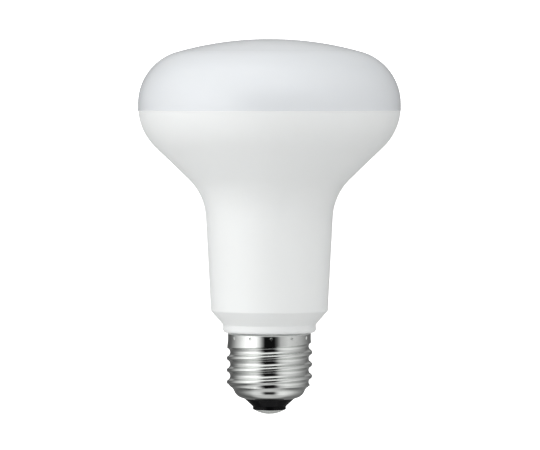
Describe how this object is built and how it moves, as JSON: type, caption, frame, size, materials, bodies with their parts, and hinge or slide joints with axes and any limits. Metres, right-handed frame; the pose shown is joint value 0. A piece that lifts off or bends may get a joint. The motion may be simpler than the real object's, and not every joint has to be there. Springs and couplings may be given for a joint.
{
  "type": "reflector bulb",
  "caption": "Reflector bulb with a milky domed diffuser, a white flared housing and a plated screw cap with black insulator and centre contact.",
  "frame": {"origin": "tip of the centre contact, on the axis of the screw cap", "axes": "+Z along the lamp's axis, from the cap towards the diffuser; the front of the picture faces -Y"},
  "size_m": [0.08, 0.08, 0.1142],
  "materials": {
    "diffuser_plastic": "milky, satin",
    "housing_plastic": "white, satin moulded",
    "cap_plating": "bright nickel plate on thin brass sheet",
    "insulator_black": "black, glossy",
    "contact_metal": "plated, lightly worn"
  },
  "bodies": {
    "root": {"diffuser": "diffuser_plastic", "housing": "housing_plastic", "screw_shell": "cap_plating", "insulator": "insulator_black", "centre_contact": "contact_metal"}
  },
  "joints": []
}
